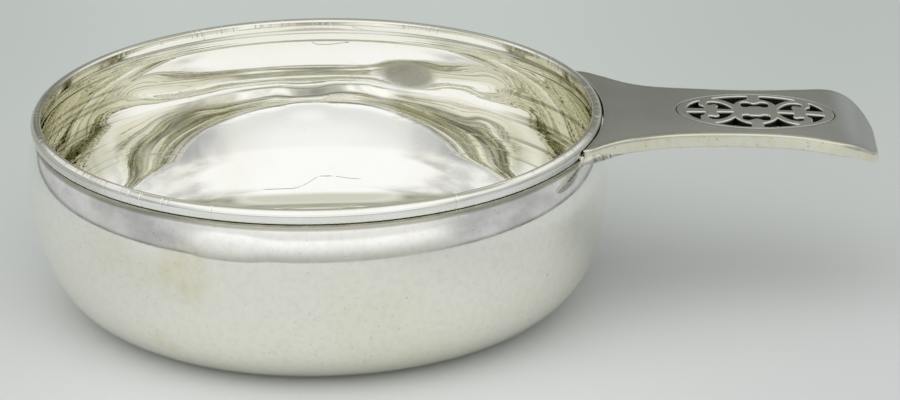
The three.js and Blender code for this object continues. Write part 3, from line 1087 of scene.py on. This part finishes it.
def quarter(across, up):
    """Moves a point of the drawn quarter to the quarter on the given sides."""
    return lambda p, q: (OVAL_X + across * p, up * q)


def fret_openings():
    """The same openings in all four quarters, and the two lobed ones."""
    openings = []
    for up in (1, -1):
        for across in (1, -1):
            at = quarter(across, up)
            openings += [draw(at) for draw in (crescent_opening, scroll_opening, end_opening)]
        openings.append(lobed_opening(quarter(1, up)))
    return openings


def panel_piece(material):
    """The openwork panel in the handle's window."""
    def depth_at(flat):
        """The panel's even thickness."""
        return np.full(len(flat), PANEL_THICKNESS)

    outer = oval(OVAL_LONG - OVAL_GAP, OVAL_SHORT - OVAL_GAP)
    made = plate(outer, fret_openings(), PANEL_GRID, WINDOW_EDGE, PANEL_EDGE, depth_at, [(DARK_DEPTH, 0.0)])
    return plate_piece("pierced_panel_silver", made, material)


# Solder run at the root of the handle
def bowl_outside(height):
    """Radius of the bowl's outside, rim included, at a height near the rim."""
    if height > RIM_FOOT - RIM_SOLDER_DEPTH:
        return RIM_RADIUS
    rise = min(1.0, max(0.0, (height - BELLY_HEIGHT) / (NECK_HEIGHT - BELLY_HEIGHT)))
    return BELLY_RADIUS - drawn_in(rise)


def solder_route():
    """Half of the run as (x, y, z, girth): a tail by the handle's edge, the corner, and under the root."""
    route = []
    for x, girth in SOLDER_TAIL:
        lower = float(top_edge(x) - thickness(x))
        route.append((x, float(half_width(x)) - SOLDER_SINK, lower + SOLDER_PERCH * girth, girth))
    corner, width = root_place(1.0)
    for drop, girth in SOLDER_CORNER:
        level = float(top_edge(corner)) - drop
        route.append((corner - SOLDER_SINK, width + SOLDER_SINK, level, girth))
    for share, girth in SOLDER_UNDER:
        y = width * share
        x = math.sqrt(RIM_RADIUS ** 2 - y * y)
        z = float(handle_top(x, y) - thickness(x)) - SOLDER_SINK
        radius = bowl_outside(z) + SOLDER_SINK
        route.append((math.sqrt(radius * radius - y * y), y, z, girth))
    return route


def solder_tree():
    """Sweeps a lumpy round bead along a path, as thick as the path's own points say."""
    tree, given = new_tree(
        "solder_run", path="Geometry", step="Float", lump_depth="Float", lump_scale="Float",
        material="Material",
    )
    curve = node(tree, "GeometryNodeMeshToCurve", {"Mesh": given["Path"]}).outputs[0]
    spaced = node(tree, "GeometryNodeResampleCurve", {"Curve": curve, "Length": given["Step"]}, mode="LENGTH")
    round_bead = {"Resolution": SOLDER_SIDES, "Radius": 1.0}
    ring = node(tree, "GeometryNodeCurvePrimitiveCircle", round_bead, mode="RADIUS")
    girth = node(tree, "GeometryNodeInputNamedAttribute", {"Name": "girth"}, data_type="FLOAT").outputs[0]
    sweep = {"Curve": spaced.outputs[0], "Profile Curve": ring.outputs[0], "Scale": girth, "Fill Caps": True}
    bead = node(tree, "GeometryNodeCurveToMesh", sweep).outputs[0]
    place = node(tree, "GeometryNodeInputPosition").outputs[0]
    lumps = noise(tree, place, given["Lump Scale"], SOLDER_LUMP_DETAIL)
    lift = times(tree, maths(tree, "SUBTRACT", lumps, 0.5), given["Lump Depth"])
    outward = node(tree, "GeometryNodeInputNormal").outputs[0]
    offset = node(tree, "ShaderNodeVectorMath", {0: outward, "Scale": lift}, operation="SCALE").outputs[0]
    lumpy = node(tree, "GeometryNodeSetPosition", {"Geometry": bead, "Offset": offset})
    end_tree(tree, lumpy.outputs[0], given["Material"])
    return tree


def root_solder(material):
    """The lumpy solder run, the same on both sides of the handle."""
    half = solder_route()
    run = half + [(x, -y, z, girth) for x, y, z, girth in half[::-1]]
    girths = [girth * MM for _, _, _, girth in run]
    piece = path_piece("root_solder", [place[:3] for place in run], {"girth": girths})
    made_by(solder_tree(), piece, {
        "Step": SOLDER_STEP * MM,
        "Lump Depth": SOLDER_LUMP * MM,
        "Lump Scale": SOLDER_LUMP_SCALE,
        "Material": material,
    })
    piece.data.shade_smooth()
    return piece


# Materials
def empty_tree(owner):
    """The node tree of a material or a world, emptied."""
    owner.use_nodes = True
    owner.node_tree.nodes.clear()
    return owner.node_tree


def new_material(name):
    """An empty metal, with its tree and its shader."""
    material = bpy.data.materials.new(name)
    tree = empty_tree(material)
    shader = node(tree, "ShaderNodeBsdfPrincipled")
    shader.inputs["Metallic"].default_value = 1.0
    node(tree, "ShaderNodeOutputMaterial", {"Surface": shader.outputs[0]})
    return material, tree, shader


def coat(tree, shader, tone, rough):
    """Gives a shader its colour and its roughness."""
    join(tree, tone, shader.inputs["Base Color"])
    join(tree, rough, shader.inputs["Roughness"])


def object_place(tree):
    """Place on the piece, in metres."""
    return node(tree, "ShaderNodeTexCoord").outputs["Object"]


def mark(tree, name):
    """A piece's own attribute."""
    return node(tree, "ShaderNodeAttribute", attribute_name=name).outputs["Fac"]


def squeezed(tree, place, scales):
    """A place with each axis scaled."""
    return node(tree, "ShaderNodeMapping", {"Vector": place, "Scale": scales}).outputs[0]


def flattened(tree, place):
    """A place brought down to the floor."""
    return vector_maths(tree, "MULTIPLY", place, (1.0, 1.0, 0.0))["Vector"]


def pits(tree, place, spacing, radius, share):
    """Small round pits, a share of the places at a spacing."""
    cells = node(tree, "ShaderNodeTexVoronoi", {"Vector": place, "Scale": 1 / (spacing * MM)})
    spot = ramp(tree, cells.outputs["Distance"], radius / spacing, PIT_CORE * radius / spacing)
    chance = node(tree, "ShaderNodeSeparateColor", {"Color": cells.outputs["Color"]}).outputs[0]
    return times(tree, spot, maths(tree, "LESS_THAN", chance, share))


def hairlines(tree, place):
    """Fine scratches: the crests of a noise drawn out along one direction, where a slower noise lets them."""
    crest = clouds(tree, squeezed(tree, place, SCRATCH_SQUEEZE), SCRATCHES)
    return times(tree, crest, clouds(tree, place, SCRATCH_PATCHES))


def add_relief(tree, shader, *layers):
    """Bump from layers of (height, depth in millimetres)."""
    normal = None
    for height, depth in layers:
        inputs = {"Height": height, "Distance": depth * MM, "Strength": 1.0}
        if normal is not None:
            inputs["Normal"] = normal
        normal = node(tree, "ShaderNodeBump", inputs).outputs[0]
    join(tree, normal, shader.inputs["Normal"])


def near(tree, place, spot, radius, core):
    """1 about a spot in millimetres, out to a core's share of a radius, fading to 0 at the radius."""
    centre = tuple(value * MM for value in spot)
    gap = vector_maths(tree, "DISTANCE", place, centre)["Value"]
    return within(tree, gap, (radius, core * radius))


def raised_silver():
    """Polished, hand-raised silver with a thin warm film, a few stains, pits and wiping scratches, painted
    reflection on its flanks inside, and painted shade under the rim and at the foot.
    """
    material, tree, shader = new_material("raised_silver")
    place = object_place(tree)
    parts = parts_of(tree, place)
    height = parts["Z"]
    across = maths(tree, "ABSOLUTE", parts["X"])
    inside = mark(tree, "inside")
    outside = maths(tree, "SUBTRACT", 1.0, inside)

    # Warm film, heavier on the belly, the lip and the flanks inside. On the flanks it is partly painted
    # reflection, with darker bands of painted reflection where rings show
    belly = times(tree, outside, within(tree, height, BELLY_FILM))
    film = maths(tree, "ADD", clouds(tree, place, FILM_CLOUDS), belly)
    flank = times(tree, within(tree, across, FLANK_ACROSS), within(tree, height, FLANK_RISE), inside)
    lip = times(tree, inside, within(tree, height, LIP_FILM))
    rings = noise(tree, squeezed(tree, place, RING_SQUEEZE), *RING_NOISE)
    painted_bands = times(tree, flank, ramp(tree, rings, *REFLECTED_BAND_LEVELS))
    heavy = maths(tree, "MAXIMUM", flank, lip)
    tone = layered(tree, BOWL_CLEAN, (film, BOWL_FILM), (heavy, TAN_FILM_AND_REFLECTION), (painted_bands, REFLECTED_BAND))

    # Painted shade in the groove under the rim and at the foot, and stains
    painted_groove_shade = times(tree, within(tree, height, GROOVE_RISE), outside)
    foot = times(tree, outside, within(tree, height, FOOT_SHADE))
    tone = layered(tree, tone, (painted_groove_shade, GROOVE), (foot, PIT_AND_SHADE))
    broken = clouds(tree, place, STAIN_BREAKS)
    for spot, radius, strength in STAINS:
        stain = times(tree, near(tree, place, spot, radius, STAIN_CORE), broken, strength)
        tone = mix_colour(tree, stain, tone, STAIN)

    # Dull oval inside
    (x, y, z), dull_half, flatness = DULL_SPOT
    squashed = squeezed(tree, place, (1.0, 1.0, flatness))
    dull = times(tree, near(tree, squashed, (x, y, z * flatness), dull_half, SPOT_CORE), inside)
    tone = mix_colour(tree, times(tree, dull, clouds(tree, place, SPOT_WEAR)), tone, DULL_GREY)

    # Pits and mottling
    fine = times(tree, pits(tree, place, *FINE_PITS), blend_value(tree, inside, *FINE_PITS_SHOWN))
    fine = times(tree, fine, clouds(tree, place, PIT_PATCHES))
    coarse = times(tree, pits(tree, place, *COARSE_PITS), blend_value(tree, inside, *COARSE_PITS_SHOWN))
    mottle = times(tree, clouds(tree, place, MOTTLE), outside)
    tone = layered(tree, tone, (fine, PIT_AND_SHADE), (coarse, PIT_AND_SHADE), (mottle, PIT_AND_SHADE))

    # Polish, duller outside and on the oval, and fine relief
    lines = hairlines(tree, place)
    rough = blend_value(tree, inside, clouds(tree, place, BOWL_POLISH), INSIDE_ROUGHNESS)
    rough = maths(tree, "MULTIPLY_ADD", lines, SCRATCH_DULLING, rough)
    rough = maths(tree, "MULTIPLY_ADD", dull, SPOT_DULLING, rough)
    coat(tree, shader, tone, rough)
    planish = times(tree, noise(tree, place, *PLANISH_NOISE), outside)
    ring_marks = times(tree, rings, flank)
    add_relief(tree, shader, (planish, PLANISH_DEPTH), (lines, SCRATCH_DEPTH), (ring_marks, RING_DEPTH))
    return material


def rim_silver():
    """Polished silver, nicked in places across its top, with a cloudy film and painted shade towards its left
    and right.
    """
    material, tree, shader = new_material("rim_silver")
    place = object_place(tree)
    around = vector_maths(tree, "NORMALIZE", flattened(tree, place))["Vector"]
    nicks = times(tree, clouds(tree, around, NICKS), clouds(tree, around, NICK_PATCHES))
    film = clouds(tree, place, RIM_FILM)
    across = maths(tree, "ABSOLUTE", parts_of(tree, place)["X"])
    # Painted shade: the bead darkened towards its left and right ends, more where the film clouds are
    painted_side_shade = times(tree, within(tree, across, RIM_SIDE_SHADE), ramp(tree, film, *RIM_SIDE_SHADE_LEVELS))
    tone = layered(tree, BOWL_CLEAN, (film, BOWL_FILM), (painted_side_shade, GROOVE))
    coat(tree, shader, tone, clouds(tree, place, RIM_POLISH))
    add_relief(tree, shader, (nicks, NICK_DEPTH), (noise(tree, place, *RIM_NOISE), RIM_NOISE_DEPTH))
    return material


def satin_silver(name):
    """Rubbed grey silver with fine lines along it, polished at its sides and edges, with painted shade along
    it and black painted shade, over some tarnish, in its recesses.
    """
    material, tree, shader = new_material(name)
    place = object_place(tree)
    side = mark(tree, "side")
    recess = mark(tree, "recess")
    grain = noise(tree, squeezed(tree, place, GRAIN_SQUEEZE), *GRAIN_NOISE)
    polished = maths(tree, "MAXIMUM", side, times(tree, mark(tree, "edge"), EDGE_POLISH))
    spots = times(tree, pits(tree, place, *SIDE_PITS), side)
    tone = layered(
        tree,
        SATIN_CLEAN,
        (clouds(tree, place, SATIN_WEAR), SATIN_WORN),
        (ramp(tree, grain, *GRAIN_LEVELS), SATIN_LINE),
        # Painted shade: the top darkened along the handle, a little more towards the tip
        (within(tree, parts_of(tree, place)["X"], HANDLE_SHADE), BLACK_SHADE_AND_TARNISH),
        (ramp(tree, mark(tree, "brow"), *BROW_LEVELS), GROOVE),
        (polished, SIDE_CREAM),
        (times(tree, clouds(tree, place, SIDE_TARNISH), side), STAIN),
        (times(tree, spots, SIDE_PITS_SHOWN), PIT_AND_SHADE),
        # Black painted shade deepening down the walls of the openings, over some tarnish, and on the root's
        # end face
        (ramp(tree, recess, *RECESS_LEVELS), BLACK_SHADE_AND_TARNISH),
    )
    rough = blend_value(tree, polished, ramp(tree, grain, *SATIN_POLISH), SIDE_ROUGHNESS)
    coat(tree, shader, tone, blend_value(tree, recess, rough, RECESS_ROUGHNESS))
    dings = noise(tree, place, *DING_NOISE)
    add_relief(tree, shader, (grain, GRAIN_DEPTH), (dings, DING_DEPTH), (spots, SIDE_PIT_DEPTH))
    return material


def solder_metal():
    """Grey solder with dark cracks between its lumps."""
    material, tree, shader = new_material("solder_metal")
    place = object_place(tree)
    grey = noise(tree, place, *SOLDER_NOISE)
    lumps = {"Vector": place, "Scale": CRACK_SCALE}
    cells = node(tree, "ShaderNodeTexVoronoi", lumps, feature="DISTANCE_TO_EDGE")
    crack = ramp(tree, cells.outputs["Distance"], *CRACK_LEVELS)
    crack = times(tree, crack, clouds(tree, place, CRACK_PATCHES))
    tone = layered(tree, SOLDER_DARK, (ramp(tree, grey, *SOLDER_LEVELS), SOLDER_LIGHT), (crack, PIT_AND_SHADE))
    coat(tree, shader, tone, ramp(tree, grey, *SOLDER_POLISH))
    add_relief(tree, shader, (grey, SOLDER_NOISE_DEPTH), (crack, CRACK_DEPTH))
    return material


def seam_metal():
    """Dull solder of the seam under the rim, coloured dark olive as painted shade of the groove."""
    material, tree, shader = new_material("seam_metal")
    film = clouds(tree, object_place(tree), SEAM_CLOUDS)
    coat(tree, shader, mix_colour(tree, film, GROOVE, BOWL_FILM), SEAM_ROUGHNESS)
    return material


# Stage
def floor_material():
    """Pale paper, greyer further back and a little darker beyond the handle and at the left."""
    material, tree, shader = new_material("pale_paper")
    shader.inputs["Metallic"].default_value = 0.0
    shader.inputs["Specular IOR Level"].default_value = FLOOR_SHEEN
    parts = parts_of(tree, object_place(tree))
    far = within(tree, parts["Y"], FLOOR_DEPTH)
    right = within(tree, parts["X"], RIGHT_SHADE)
    left = times(tree, within(tree, parts["X"], LEFT_SHADE), within(tree, parts["Y"], LEFT_SHADE_DEPTH))
    tone = layered(tree, FLOOR_NEAR, (far, FLOOR_FAR), (right, FLOOR_SHADE), (left, FLOOR_SHADE))
    coat(tree, shader, tone, FLOOR_ROUGHNESS)
    return material


def make_floor():
    """A wide sheet of paper just under the base."""
    corners = [(-1, -1), (1, -1), (1, 1), (-1, 1)]
    points = [(x * FLOOR_HALF, y * FLOOR_HALF, -FLOOR_DROP) for x, y in corners]
    floor = new_piece("floor", points, [(0, 1, 2, 3)], floor_material())


def tent_panel(tree, height):
    """The white panel in front, with a grey strip across it."""
    strip = times(tree, within(tree, height, STRIP_RISE), within(tree, height, STRIP_FALL))
    return layered(tree, TENT_HORIZON, (within(tree, height, PANEL_RISE), TENT_WHITE), (strip, TENT_STRIP))


def tent_wall(tree, place, height, ahead):
    """The clouded sides and back, and the panel in front of them."""
    hind = times(tree, ramp(tree, ahead, *HIND_SIDE_WAY), within(tree, height, HIND_SIDE_RISE))
    upper = times(tree, within(tree, height, UPPER_RISE), ramp(tree, ahead, *UPPER_WAY))
    side = layered(
        tree,
        TENT_FOOT,
        (within(tree, height, FOOT_RISE), TENT_SIDE),
        (within(tree, height, HIGH_SIDE_RISE), TENT_HIGH_SIDE),
        (hind, TENT_HIND_SIDE),
        (upper, TENT_UPPER),
    )
    back = mix_colour(tree, within(tree, height, BACK_RISE), TENT_SWEEP, TENT_BACK)
    narrowed = maths(tree, "ADD", ahead, within(tree, height, BACK_NARROWING))
    wall = mix_colour(tree, ramp(tree, narrowed, *BACK_WAY), side, back)
    wall = mix_colour(tree, 1.0, wall, clouds(tree, place, TENT_CLOUDS), "MULTIPLY")
    widened = maths(tree, "ADD", ahead, within(tree, height, PANEL_WIDENING))
    return mix_colour(tree, ramp(tree, widened, *PANEL_WAY), wall, tent_panel(tree, height))


def tent_seam(tree, x, y):
    """Where the curved seam runs across the roof."""
    off_seam = maths(tree, "ADD", y, SEAM_REACH * MM)
    for start, end, start_shift, end_shift in SEAM_BENDS:
        bend = within(tree, x, (start, end, start_shift * MM, end_shift * MM))
        off_seam = maths(tree, "ADD", off_seam, bend)
    seam = within(tree, maths(tree, "ABSOLUTE", off_seam), (SEAM_WIDTH, SEAM_CORE))
    return times(tree, seam, within(tree, maths(tree, "ABSOLUTE", x), SEAM_ENDS))


def tent_material():
    """White in front and overhead, grey at the sides and dark behind, with one seam in its roof."""
    material = bpy.data.materials.new("tent_cloth")
    tree = empty_tree(material)
    place = object_place(tree)
    parts = parts_of(tree, place)
    height = parts["Z"]
    ahead = maths(tree, "DIVIDE", parts["Y"], -TENT_RADIUS * MM)
    reach = vector_maths(tree, "LENGTH", flattened(tree, place))["Value"]
    in_roof = maths(tree, "GREATER_THAN", height, ROOF_RISE * MM)
    overhead = times(tree, in_roof, within(tree, reach, OVERHEAD_REACH))
    high_front = times(tree, within(tree, height, HIGH_FRONT_RISE), ramp(tree, ahead, *HIGH_FRONT_WAY))
    tone = layered(
        tree,
        tent_wall(tree, place, height, ahead),
        (maths(tree, "MAXIMUM", overhead, high_front), TENT_WHITE),
        (times(tree, overhead, within(tree, parts["Y"], OVERHEAD_TURN)), TENT_OVERHEAD),
        (times(tree, tent_seam(tree, parts["X"], parts["Y"]), in_roof), TENT_SEAM),
    )
    glow = node(tree, "ShaderNodeEmission", {"Color": tone, "Strength": 1.0})
    node(tree, "ShaderNodeOutputMaterial", {"Surface": glow.outputs[0]})
    material.cycles.emission_sampling = "NONE"
    return material


def make_tent():
    """A round tent about the object that only reflections see."""
    points = []
    for height in (0.0, TENT_HEIGHT):
        for step in range(TENT_STEPS):
            turn = step / TENT_STEPS * math.tau
            points.append((TENT_RADIUS * math.cos(turn), TENT_RADIUS * math.sin(turn), height))
    faces = []
    for step in range(TENT_STEPS):
        other = (step + 1) % TENT_STEPS
        faces.append((step, other, TENT_STEPS + other, TENT_STEPS + step))
    faces.append(tuple(range(TENT_STEPS, 2 * TENT_STEPS)))
    tent = new_piece("light_tent", points, faces, tent_material())
    tent.visible_camera = False
    tent.visible_diffuse = False
    tent.visible_shadow = False
    tent.visible_transmission = False


def make_world():
    """Plain light for the floor, stronger from one side. The camera sees the backdrop's colour."""
    world = bpy.data.worlds.new("studio")
    bpy.context.scene.world = world
    tree = empty_tree(world)
    path = node(tree, "ShaderNodeLightPath")
    way = node(tree, "ShaderNodeTexCoord").outputs["Generated"]
    lean = vector_maths(tree, "DOT_PRODUCT", way, KEY_WAY)["Value"]
    light = mix_colour(tree, ramp(tree, lean, *KEY_SPREAD), ROOM_LIGHT, KEY_LIGHT)
    tone = mix_colour(tree, path.outputs["Is Camera Ray"], light, BACKDROP)
    sky = node(tree, "ShaderNodeBackground", {"Color": tone, "Strength": 1.0})
    node(tree, "ShaderNodeOutputWorld", {"Surface": sky.outputs[0]})
    world.cycles_visibility.glossy = False
    world.cycles.sampling_method = "MANUAL"
    world.cycles.sample_map_resolution = WORLD_MAP_SIZE


def make_camera():
    """The camera, turned and rolled a little as in the photograph."""
    data = bpy.data.cameras.new("camera")
    data.sensor_width = CAMERA_SENSOR
    data.lens = CAMERA_LENS
    data.clip_start = CAMERA_NEAR
    data.clip_end = CAMERA_FAR
    camera = placed("camera", data)
    bpy.context.scene.camera = camera
    eye = Vector((0.0, -math.cos(CAMERA_ELEVATION), math.sin(CAMERA_ELEVATION))) * CAMERA_DISTANCE * MM
    level = math.cos(CAMERA_PITCH)
    forward = Vector((math.sin(CAMERA_YAW) * level, math.cos(CAMERA_YAW) * level, -math.sin(CAMERA_PITCH)))
    flat_right = Vector((math.cos(CAMERA_YAW), -math.sin(CAMERA_YAW), 0.0))
    flat_up = flat_right.cross(forward)
    right = flat_right * math.cos(CAMERA_ROLL) + flat_up * math.sin(CAMERA_ROLL)
    up = flat_up * math.cos(CAMERA_ROLL) - flat_right * math.sin(CAMERA_ROLL)
    camera.matrix_world = Matrix((
        (right.x, up.x, -forward.x, eye.x),
        (right.y, up.y, -forward.y, eye.y),
        (right.z, up.z, -forward.z, eye.z),
        (0.0, 0.0, 0.0, 1.0),
    ))


def settle(piece, slot, *nodes):
    """The piece rides on the one body and stands for its nodes, which are hidden. The slot is not used."""
    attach(piece, "root")
    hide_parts(*nodes)


def main():
    """Builds the stage and all six pieces."""
    bpy.context.scene.view_settings.view_transform = "Standard"
    bpy.context.scene.cycles.glossy_bounces = GLOSSY_BOUNCES
    make_camera()
    make_world()
    make_floor()
    make_tent()
    tree = turned_tree()
    bowl = turned("bowl_wall", bowl_profile(), tree, raised_silver(), beaten=1.0)
    settle(bowl, "bowl_silver", "bowl")
    settle(turned("rim_bead", rim_profile(), tree, rim_silver()), "rim_silver", "rim_moulding")
    settle(turned("rim_solder", rim_solder_profile(), tree, seam_metal()), "solder", "rim_solder_seam")
    settle(handle_piece(satin_silver("handle_satin")), "handle_silver", "handle")
    settle(panel_piece(satin_silver("panel_satin")), "panel_silver", "pierced_panel")
    settle(root_solder(solder_metal()), "solder", "handle_solder_seam")


main()
bpy.context.view_layer.update()
